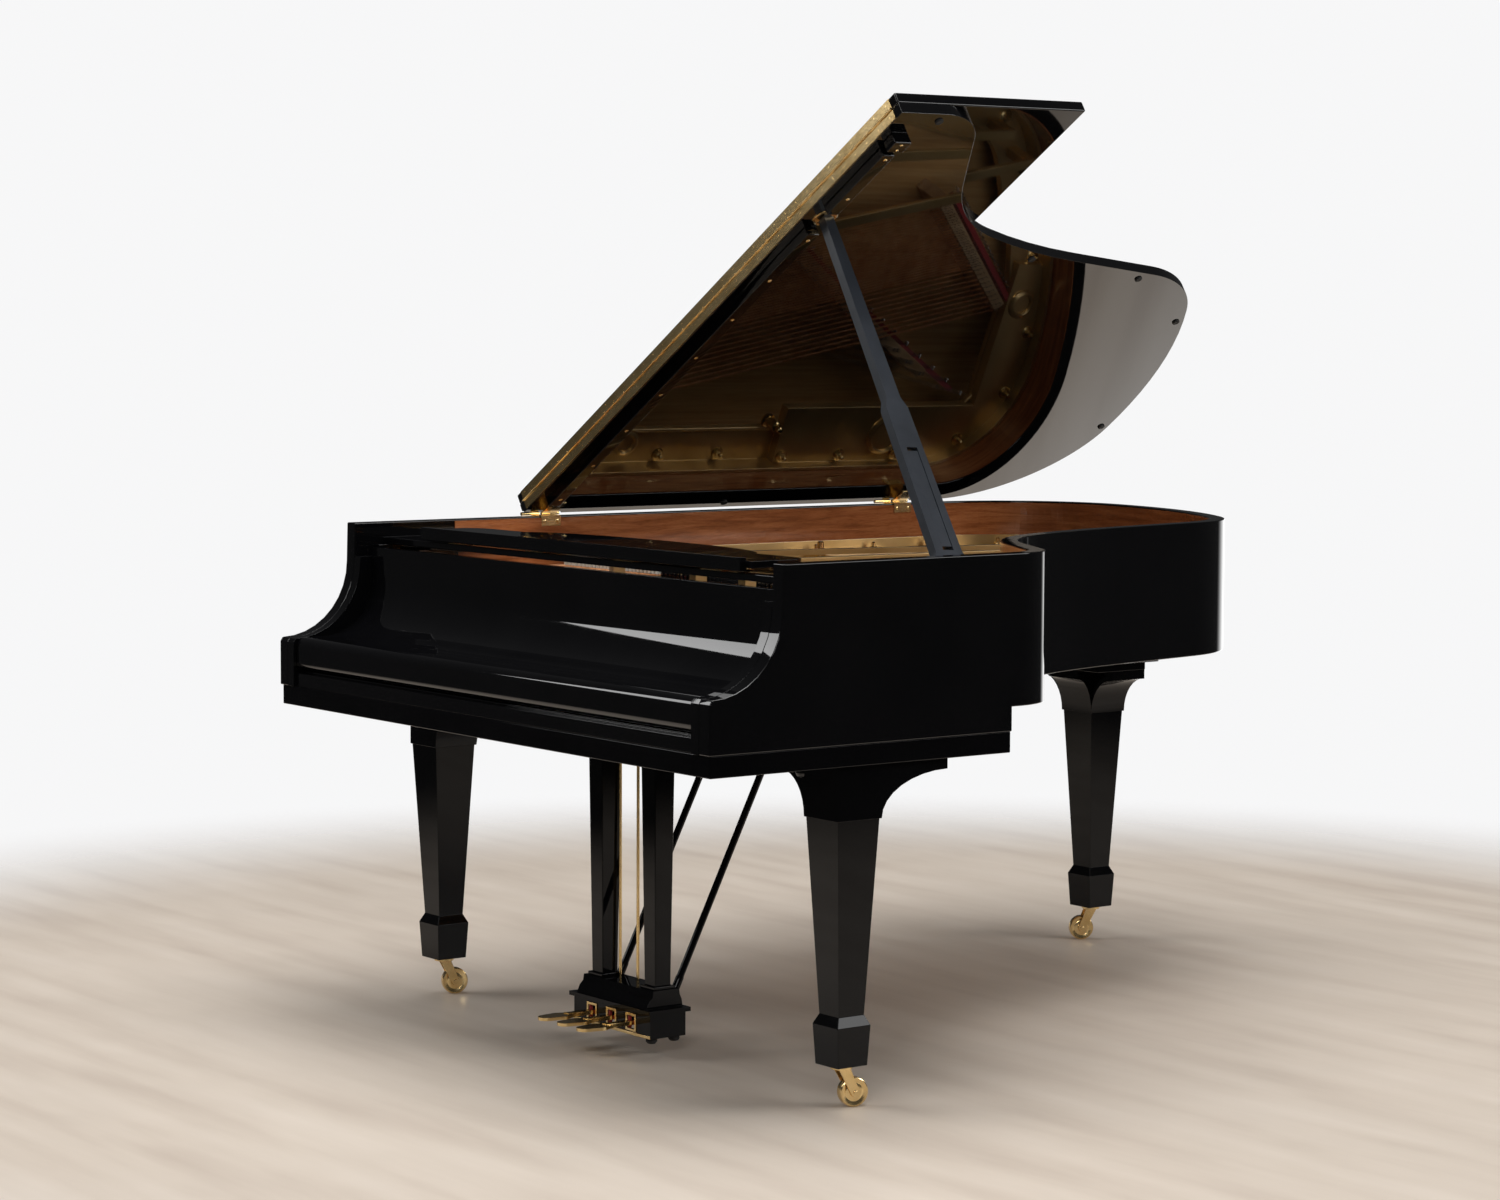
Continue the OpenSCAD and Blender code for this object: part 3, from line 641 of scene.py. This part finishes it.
def case_line(offset, step=4.0):
    """Points round the case from the treble arm to the bass arm, moved outwards by offset,
    each with its outward direction."""
    x, y, heading = HALF_WIDTH, ARM_Y, 90.0
    line = []

    def note(px, py, h):
        out = (math.sin(math.radians(h)), -math.cos(math.radians(h)))
        line.append((px + offset * out[0], py + offset * out[1], out))

    for size, turn in PLAN + [(None, None)]:
        if size is None:
            turn = 270 - heading
            size = (x + HALF_WIDTH) / (math.sin(math.radians(heading)) + 1)
        count = max(1, math.ceil(abs(turn) / step)) if turn else max(1, round(size / 60))
        for k in range(count):
            if turn == 0:
                px = x + size * k / count * math.cos(math.radians(heading))
                py = y + size * k / count * math.sin(math.radians(heading))
                note(px, py, heading)
            else:
                h = heading + turn * k / count
                side = math.copysign(1, turn) * size
                note(x + side * (math.sin(math.radians(h)) - math.sin(math.radians(heading))),
                     y + side * (math.cos(math.radians(heading)) - math.cos(math.radians(h))), h)
        if turn == 0:
            x += size * math.cos(math.radians(heading))
            y += size * math.sin(math.radians(heading))
        else:
            side = math.copysign(1, turn) * size
            x += side * (math.sin(math.radians(heading + turn)) - math.sin(math.radians(heading)))
            y += side * (math.cos(math.radians(heading)) - math.cos(math.radians(heading + turn)))
            heading += turn
    note(x, y, heading)
    for k in range(1, 25):
        note(x, y - (y - 400) * k / 24, 270)
    return line


def spaced(line, gap, start_y):
    """Points about gap apart along a line, behind start_y."""
    kept = []
    travelled = gap
    for a, b in zip(line, line[1:]):
        travelled += math.hypot(b[0] - a[0], b[1] - a[1])
        if travelled >= gap and b[1] > start_y:
            kept.append(b)
            travelled = 0
    return kept


def plate_height(x, y):
    """Top of the plate under a fitting: higher on its hitch panel."""
    return HITCH_PANEL_TOP if (x < -560 and y > 1300) or (x < -200 and y > 1838) else PLATE_TOP


def build_plate_bolts(bm):
    for x, y, _ in spaced(case_line(-60), 150, 560):
        z = plate_height(x, y)
        add_turned(bm, (x, y, z - 1), (0, 0, 1), [(0, 15), (3, 15), (4, 12), (5, 12)], 20)
        add_turned(bm, (x, y, z + 3.5), (0, 0, 1), [(0, 8.5), (6, 8.5), (7, 7.5)], 6)
        add_turned(bm, (x, y, z + 10), (0, 0, 1), [(0, 4.5), (8, 4.5), (10, 3), (10.5, 0)], 14)


NOSE_BOLT = (-600, 1270)
PLATE_PORTS = ((640, 600, 20), (-632, 1600, 38), (-300, 1880, 24), (-650, 900, 20))


def build_nose_bolt(bm):
    """The tall bolt between plate and case that stands beside the longest strings."""
    x, y, z = (*NOSE_BOLT, PLATE_TOP)
    add_turned(bm, (x, y, z - 1), (0, 0, 1), [(0, 17), (5, 17), (7, 12), (38, 12), (40, 10)], 28)
    add_turned(bm, (x, y, z + 38), (0, 0, 1), [(0, 7.5), (14, 7.5), (17, 5), (18, 0)], 20)


def build_plate_lip(bm):
    """The cast edge that stands up round the plate's window."""
    pairs = [(p, q) for p, q in zip(case_line(-118), case_line(-125)) if q[1] > 575]
    rows = [[bm.verts.new((p[0], p[1], PLATE_TOP - 1)), bm.verts.new((p[0], p[1], PLATE_TOP + 6)),
             bm.verts.new((q[0], q[1], PLATE_TOP + 6)), bm.verts.new((q[0], q[1], PLATE_TOP - 1))]
            for p, q in pairs]
    for r, s in zip(rows, rows[1:]):
        for k in range(3):
            bm.faces.new((r[k], s[k], s[k + 1], r[k + 1]))
    bm.faces.new(rows[0])
    bm.faces.new(list(reversed(rows[-1])))


make("plate_bolts", "case", "polished_brass", build_plate_bolts)
make("nose_bolt", "case", "polished_brass", build_nose_bolt)
make("plate_lip", "case", "bronze_plate", build_plate_lip, 1.5)


def build_plate_web(bm):
    """Round ports cast in the plate: a raised collar with a rolled edge."""
    for x, y, radius in PLATE_PORTS:
        add_turned(bm, (x, y, plate_height(x, y) - 1), (0, 0, 1), [
            (0, radius + 12), (5, radius + 11), (8, radius + 7), (9, radius + 3), (7, radius),
            (1.5, radius - 1), (1.2, 0)], 40)


make("plate_ports", "case", "bronze_plate", build_plate_web)


# Dampers, hammers and sharps -----------------------------------------------------------

DAMPERS = 69


def damper_x(i):
    if i < BASS_NOTES:
        return note_x(i) + 19
    return note_x(i) - 82 * math.sin(-tilt(i))


def damper_foot(i):
    """Height of the string that damper i rests on."""
    return BASS_Z + 1.7 if i < BASS_NOTES else STRING_Z + 0.9


def build_damper_heads(bm):
    for i in range(DAMPERS):
        x, z = damper_x(i), damper_foot(i)
        add_prism(bm, [(588, z + 7), (588, z + 20), (591, z + 24), (613, z + 24), (616, z + 20),
                       (616, z + 7)], x - 4.2, x + 4.2)


def build_damper_felts(bm):
    for i in range(DAMPERS):
        x, z = damper_x(i), damper_foot(i)
        for y0, y1 in ((588.5, 600), (604, 615.5)):
            add_prism(bm, [(y0, z + 7), (y1, z + 7), (y1 - 1.5, z), (y0 + 1.5, z)], x - 3.9, x + 3.9)


def build_damper_wires(bm):
    for i in range(DAMPERS):
        x, z = damper_x(i) + 6, damper_foot(i)
        add_wire(bm, [(x, 602, 716), (x, 602.01, z + 9), (x - 1.5, 602.02, z + 12),
                      (x - 5, 602.03, z + 12.4)], 0.8)


make("damper_blocks", "dampers", "black_polyester", build_damper_heads, 0.7,
     stands_for=("damper_heads",))
make("damper_felts", "dampers", "hammer_felt", build_damper_felts)
make("damper_wires", "dampers", "polished_brass", build_damper_wires)


def sharp_note(i):
    return i % 12 in (1, 4, 6, 9, 11)


def hammer_profile(z):
    """Pear-shaped felt round the tip of a hammer head."""
    return [(563, z), (562, z + 22), (563.5, z + 40), (567, z + 52), (571.5, z + 59), (574, z + 60.5),
            (576.5, z + 59), (581, z + 52), (584.5, z + 40), (586, z + 22), (585, z)]


def build_hammer_felts(sharps):
    def build(bm):
        for i in range(NOTES):
            if sharp_note(i) == sharps:
                add_prism(bm, hammer_profile(773), note_x(i) - 4.3, note_x(i) + 4.3)
    return build


def build_hammer_woods(sharps):
    def build(bm):
        for i in range(NOTES):
            if sharp_note(i) != sharps:
                continue
            x = note_x(i)
            add_prism(bm, [(568, 768), (568, 806), (574, 820), (580, 806), (580, 768)], x - 4.4, x + 4.4)
            add_turned(bm, (x, 440, 775), (0, 1, 0), [(0, 2.9), (130, 2.6)], 10)
            add_box(bm, x - 3, x + 3, 425, 446, 769, 781)
    return build


for key_color, sharps in (("white", False), ("black", True)):
    make(f"{key_color}_hammer_felts", f"{key_color}_hammer_set", "hammer_felt",
         build_hammer_felts(sharps), 0.8, stands_for=(f"{key_color}_key_hammers",))
    make(f"{key_color}_hammer_woods", f"{key_color}_hammer_set", "beech",
         build_hammer_woods(sharps), 0.4)

KEY_PITCH = 23.5
WHITE_KEYS = 52
KEY_TOP = 735
BLACK_AFTER = (1, 0, 1, 1, 0, 1, 1)


def black_key_places():
    return [(k - (WHITE_KEYS - 1) / 2 + 0.5) * KEY_PITCH
            for k in range(WHITE_KEYS - 1) if BLACK_AFTER[k % 7]]


def build_sharps(bm):
    """Sharps with sloping fronts and sides, on their levers."""
    for x in black_key_places():
        rings = []
        for z, half, front in ((KEY_TOP - 21, 5.0, 86), (KEY_TOP + 2, 5.0, 87.5), (KEY_TOP + 11, 4.1, 96)):
            rings.append([bm.verts.new(c) for c in (
                (x - half, front, z), (x + half, front, z), (x + half, 182, z), (x - half, 182, z))])
        for low, high in zip(rings, rings[1:]):
            for k in range(4):
                n = (k + 1) % 4
                bm.faces.new((low[k], low[n], high[n], high[k]))
        bm.faces.new(list(reversed(rings[0])))
        bm.faces.new(rings[-1])


def build_sharp_levers(bm):
    for x in black_key_places():
        add_box(bm, x - 4, x + 4, 181, 478, KEY_TOP - 35, KEY_TOP - 12)


make("sharp_tops", "black_key_set", "key_black", build_sharps, 1.0, stands_for=("black_keys",))
make("sharp_levers", "black_key_set", "beech", build_sharp_levers, 0.5)


# Lid fittings -----------------------------------------------------------------------------

FOLD_Y = 585
BATTEN = (613, 641)
BUMPERS = ((1470, 690), (1012, 1254), (773, 1843), (323, 1974), (943, 1600), (22, 1100))
LEAF_SCREWS = 37
FLUSH = 0.1
STICK_U = 1146


def build_batten_screws(bm):
    for k in range(10):
        u = 90 + 143 * k
        if abs(u - STICK_U) < 50:
            continue
        add_screw(bm, (min(u, 1366), (BATTEN[0] + BATTEN[1]) / 2, -18), (0, 0, -1), 4.2)
    for u in (1404, 1420):
        add_screw(bm, (u, 627, -22), (0, 0, -1), 3.4)


def build_leaf_screws(height):
    def build(bm):
        for k in range(LEAF_SCREWS):
            u = 32 + 39.6 * k
            add_screw(bm, (u, FOLD_Y + 1.3, height), (0, -1, 0), 2.2, FLUSH)
    return build


make("batten_screws", "lid", "polished_brass", build_batten_screws, place=on_lid)
make("lid_leaf_screws", "lid", "polished_brass", build_leaf_screws(9.5), place=on_lid)
make("flap_leaf_screws", "flap", "polished_brass", build_leaf_screws(35), place=on_lid)


def build_stick_socket(bm):
    """Cup in the lid that takes the tip of the stick, in a brass rosette."""
    add_turned(bm, (STICK_U, 639, 0.2), (0, 0, -1), [
        (0, 26), (1.2, 26), (2.0, 24.5), (2.0, 19), (0.9, 18), (0.5, 0)], 36)


def build_bumpers(bm):
    for u, y in BUMPERS:
        add_turned(bm, (u, y, 0), (0, 0, -1), [
            (-0.2, 8), (2.6, 8), (3.6, 6.8), (3.8, 4.5), (3.2, 2), (3, 0)], 20)


make("stick_socket", "lid", "polished_brass", build_stick_socket, place=on_lid)
make("rubber_bumpers", "lid", "soft_rubber", build_bumpers, place=on_lid,
     stands_for=("lid_bumpers",))

HINGE_YS = (632, 1584)


def build_hinge_screws(bm):
    inner = HALF_WIDTH - 36
    for y in HINGE_YS:
        for dy in (-16, 16):
            add_screw(bm, (-inner, y + dy, 972), (1, 0, 0), 4.2)
            add_screw(bm, (-HALF_WIDTH + 18, y + dy, 983.6), (0, 0, 1), 3.6, FLUSH)


def build_lid_hinge_screws(bm):
    for y in HINGE_YS:
        for u, dy in ((30, 9), (30, 33), (18, 21)):
            add_screw(bm, (u, y + dy, -1.8), (0, 0, -1), 3.4, FLUSH)


make("rim_hinge_screws", "case", "polished_brass", build_hinge_screws)
make("lid_hinge_screws", "lid", "polished_brass", build_lid_hinge_screws, place=on_lid)


# Casters, lyre and small trim --------------------------------------------------------------


def build_wheel(name):
    joint = joints[name + "_caster_roll"]
    axis = Vector(joint["axis"]).normalized()
    centre = Vector(joint["pos_m"])
    middle = ((centre.x - MIDDLE_X) / MM, (centre.y - FRONT_Y) / MM, centre.z / MM)

    def build(bm):
        start = Vector(middle) - 17 * axis
        add_turned(bm, start, axis, [
            (0, 3.2), (0.6, 4), (6, 4), (6.2, 8), (8, 9), (8.2, 14), (9.4, 17), (7.6, 22), (7.4, 25),
            (8.6, 26.6), (10.5, 27), (23.5, 27), (25.4, 26.6), (26.6, 25), (26.4, 22), (24.6, 17),
            (25.8, 14), (26, 9), (27.8, 8), (28, 4), (33.4, 4), (34, 3.2)], 48)
    return build


for name in ("bass", "treble", "tail"):
    make(name + "_brass_wheel", name + "_wheel", "polished_brass", build_wheel(name),
         stands_for=(name + "_caster_wheel",))


LYRE_Y = 347
PEDAL_PITCH = 66
ROD_PITCH = 60


def build_lyre_feet(bm):
    for x in (-112, 112):
        for y in (LYRE_Y - 26, LYRE_Y + 26):
            add_turned(bm, (x, y, 38), (0, 0, -1), [(0, 10), (3, 11), (8, 11), (12, 8), (13, 0)], 24)


def build_lyre_capitals(bm):
    """Stepped blocks where the posts meet the top block and the box."""
    for x in (-89, 89):
        add_box(bm, x - 29, x + 29, LYRE_Y - 25, LYRE_Y + 33, 580, 592)
        add_box(bm, x - 24, x + 24, LYRE_Y - 20, LYRE_Y + 28, 124, 132)


make("lyre_feet", "case", "soft_rubber", build_lyre_feet)
make("lyre_capitals", "case", "black_polyester", build_lyre_capitals, 1.5,
     material=stand_polyester)


def build_brace(side):
    def build(bm):
        start, end = Vector((side * 93, LYRE_Y + 43, 122)), Vector((side * 93, 640, 616))
        length = (end - start).length
        add_turned(bm, start, end - start, [
            (0, 8), (22, 8), (26, 7), (length - 30, 7), (length - 26, 8), (length, 8)], 24)
    return build


make("bass_lyre_brace", "case", "black_polyester", build_brace(-1), material=stand_polyester,
     stands_for=("lyre_braces",))
make("treble_lyre_brace", "case", "black_polyester", build_brace(1), material=stand_polyester)


def build_rod(k):
    def build(bm):
        x, y = k * ROD_PITCH, LYRE_Y + 20
        add_turned(bm, (x, y, 67), (0, 0, 1), [
            (0, 2.2), (1, 3), (10, 3), (10.4, 4.6), (16, 4.6), (16.4, 3), (498, 3), (498.5, 4.8),
            (510, 4.8), (510.5, 3), (520, 3), (521, 2.4)], 16)
    return build


for k, name in enumerate(("left", "middle", "right")):
    make(name + "_brass_rod", name + "_pedal_rod", "polished_brass", build_rod(k - 1),
         stands_for=(name + "_rod",))


def build_pedal_felts(bm):
    for k in (-1, 0, 1):
        x = k * PEDAL_PITCH
        for x0, x1 in ((x - 12.2, x - 9.4), (x + 9.4, x + 12.2)):
            add_box(bm, x0, x1, LYRE_Y - 40, LYRE_Y - 33, 48.5, 73.5)


make("pedal_felts", "case", "hammer_felt", build_pedal_felts, 0.5, material=red_felt)


def build_leg_locks(bm):
    """Turned knobs on the plates that lock the front legs."""
    for x in (-610, 610):
        add_turned(bm, (x, 300, 620), (0, 0, -1), [
            (0, 15), (3, 15), (4, 8), (14, 7), (16, 13), (22, 14), (28, 12), (31, 7), (32, 0)], 28)


make("leg_lock_knobs", "case", "black_polyester", build_leg_locks)


def build_slip_screws(bm):
    for x in (-560, 0, 560):
        add_screw(bm, (x, 14, 659 - 39), (0, 0, -1), 6)
    for x, y in ((-430, 60), (430, 60), (-430, 560), (430, 560), (0, 560)):
        add_screw(bm, (x, y, 620), (0, 0, -1), 7)


make("keybed_screws", "case", "steel_wire", build_slip_screws)


def build_name_felt(bm):
    """Felt strip over the back of the keys, under the fallboard."""
    add_box(bm, -612, 612, 196, 203, 737, 741)


make("key_felt", "case", "hammer_felt", build_name_felt, 0.5, material=red_felt)


def build_desk_hinges(bm):
    for x in (-430, -150, 150, 430):
        add_box(bm, x - 32, x + 32, 226.5, 262, 951, 952.2)
        for dx in (-22, 0, 22):
            add_screw(bm, (x + dx, 241, 952.2), (0, 0, 1), 3.2)


make("desk_hinge_plates", "desk_base", "polished_brass", build_desk_hinges, 0.3)


# Stage, light and camera -------------------------------------------------------------------

FLOOR_RADIUS = 7.0
FADE = (2.0, 3.4)
WALL_SIDE = (-0.79, 0.61, 0.0)
WALL_LIGHT = 1.9
OVERHEAD_LIGHT = 1.3
ROOM_LIGHT = 0.035
WALL_SEEN = (0.93, 0.93, 0.935, 1)


def make_floor():
    bm = bmesh.new()
    bmesh.ops.create_circle(bm, cap_ends=True, radius=FLOOR_RADIUS, segments=96)
    mesh = bpy.data.meshes.new("floor")
    bm.to_mesh(mesh)
    bm.free()
    floor = bpy.data.objects.new("floor", mesh)
    bpy.context.scene.collection.objects.link(floor)
    f = Finish("pale_floor", (0.62, 0.54, 0.46), 0.35)
    f.color(f.ramp(f.noise(1.0, 5, stretch=(1.2, 9, 1)), [
        (0.25, (0.52, 0.44, 0.37)), (0.5, (0.6, 0.52, 0.44)), (0.8, (0.66, 0.58, 0.5))]))
    f.roughness(f.spread(f.noise(8, 4), 0.3, 0.42))
    distance = f.add("ShaderNodeVectorMath", operation="LENGTH")
    f.link(f.place, distance.inputs[0])
    fade = f.add("ShaderNodeMapRange", interpolation_type="SMOOTHSTEP")
    fade.inputs["From Min"].default_value = FADE[0]
    fade.inputs["From Max"].default_value = FADE[1]
    f.link(distance.outputs["Value"], fade.inputs["Value"])
    clear = f.add("ShaderNodeBsdfTransparent")
    mix = f.add("ShaderNodeMixShader")
    f.link(fade.outputs["Result"], mix.inputs["Fac"])
    f.link(f.shader.outputs["BSDF"], mix.inputs[1])
    f.link(clear.outputs["BSDF"], mix.inputs[2])
    output = f.tree.nodes["Material Output"]
    f.link(mix.outputs["Shader"], output.inputs["Surface"])
    mesh.materials.append(f.material)


def make_world():
    """A studio: white overhead and behind the piano below the rim, dark round the camera."""
    world = bpy.data.worlds.new("studio")
    bpy.context.scene.world = world
    world.use_nodes = True
    tree = world.node_tree
    tree.nodes.clear()

    def node(kind, **settings):
        made = tree.nodes.new(kind)
        for key, value in settings.items():
            setattr(made, key, value)
        return made

    def smooth(source, low, high, strength):
        """0 at low to strength at high, with soft ends."""
        remap = node("ShaderNodeMapRange", interpolation_type="SMOOTHSTEP")
        remap.inputs["From Min"].default_value = low
        remap.inputs["From Max"].default_value = high
        remap.inputs["To Max"].default_value = strength
        tree.links.new(source, remap.inputs["Value"])
        return remap.outputs["Result"]

    def combine(operation, a, b):
        made = node("ShaderNodeMath", operation=operation)
        for socket, value in zip(made.inputs, (a, b)):
            if isinstance(value, float):
                socket.default_value = value
            else:
                tree.links.new(value, socket)
        return made.outputs["Value"]

    direction = node("ShaderNodeTexCoord").outputs["Generated"]
    split = node("ShaderNodeSeparateXYZ")
    tree.links.new(direction, split.inputs["Vector"])
    height = split.outputs["Z"]
    level = node("ShaderNodeVectorMath", operation="MULTIPLY")
    tree.links.new(direction, level.inputs[0])
    level.inputs[1].default_value = (1, 1, 0)
    heading = node("ShaderNodeVectorMath", operation="NORMALIZE")
    tree.links.new(level.outputs["Vector"], heading.inputs[0])
    away = node("ShaderNodeVectorMath", operation="DOT_PRODUCT")
    tree.links.new(heading.outputs["Vector"], away.inputs[0])
    away.inputs[1].default_value = WALL_SIDE
    overhead = smooth(height, 0.72, 0.95, OVERHEAD_LIGHT)
    wall = combine("MULTIPLY", smooth(away.outputs["Value"], 0.75, 0.93, 1.0),
                   smooth(height, 0.03, -0.04, WALL_LIGHT))
    total = combine("ADD", combine("ADD", overhead, wall), ROOM_LIGHT)
    soft = node("ShaderNodeBackground")
    soft.inputs["Color"].default_value = (1, 1, 1, 1)
    tree.links.new(total, soft.inputs["Strength"])
    seen = node("ShaderNodeBackground")
    seen.inputs["Color"].default_value = WALL_SEEN
    path = node("ShaderNodeLightPath")
    mix = node("ShaderNodeMixShader")
    tree.links.new(path.outputs["Is Camera Ray"], mix.inputs["Fac"])
    tree.links.new(soft.outputs["Background"], mix.inputs[1])
    tree.links.new(seen.outputs["Background"], mix.inputs[2])
    output = node("ShaderNodeOutputWorld")
    tree.links.new(mix.outputs["Shader"], output.inputs["Surface"])


def make_light(name, position, target, size, power):
    light = bpy.data.lights.new(name, "AREA")
    light.shape = "RECTANGLE"
    light.size, light.size_y = size
    light.energy = power
    obj = bpy.data.objects.new(name, light)
    bpy.context.scene.collection.objects.link(obj)
    obj.location = position
    obj.rotation_euler = (Vector(target) - Vector(position)).to_track_quat("-Z", "Y").to_euler()


CAMERA_AT = (5766, -3643, 1417)
CAMERA_YAW, CAMERA_PITCH, CAMERA_ROLL = 53.44, 4.51, 0.24
CAMERA_LENS = 88.2


def make_camera():
    yaw, pitch, roll = (math.radians(a) for a in (CAMERA_YAW, CAMERA_PITCH, CAMERA_ROLL))
    look = Vector((-math.sin(yaw) * math.cos(pitch), math.cos(yaw) * math.cos(pitch), -math.sin(pitch)))
    right = Vector((math.cos(yaw), math.sin(yaw), 0))
    up = right.cross(look)
    rolled_right = math.cos(roll) * right + math.sin(roll) * up
    rolled_up = math.cos(roll) * up - math.sin(roll) * right
    turn = Matrix((rolled_right, rolled_up, -look)).transposed()
    camera = bpy.data.cameras.new("camera")
    camera.sensor_width = 36
    camera.lens = CAMERA_LENS
    camera.clip_end = 100
    obj = bpy.data.objects.new("camera", camera)
    bpy.context.scene.collection.objects.link(obj)
    obj.matrix_world = Matrix.Translation(at(*CAMERA_AT)) @ turn.to_4x4()
    bpy.context.scene.camera = obj


make_floor()
make_world()
make_light("overhead", (0.2, -0.3, 4.6), (0, 0, 0.8), (3.2, 3.2), 190)
make_light("right_back", (4.2, 3.6, 3.2), (0.2, 0, 0.9), (3.0, 2.0), 130)
make_light("left_front", (-3.6, -4.4, 3.6), (0, -0.3, 0.8), (3.0, 2.4), 120)
make_light("camera_side", (5.6, -5.2, 4.2), (0, 0, 0.9), (2.4, 2.0), 110)
make_camera()

bpy.context.scene.view_settings.view_transform = "Standard"
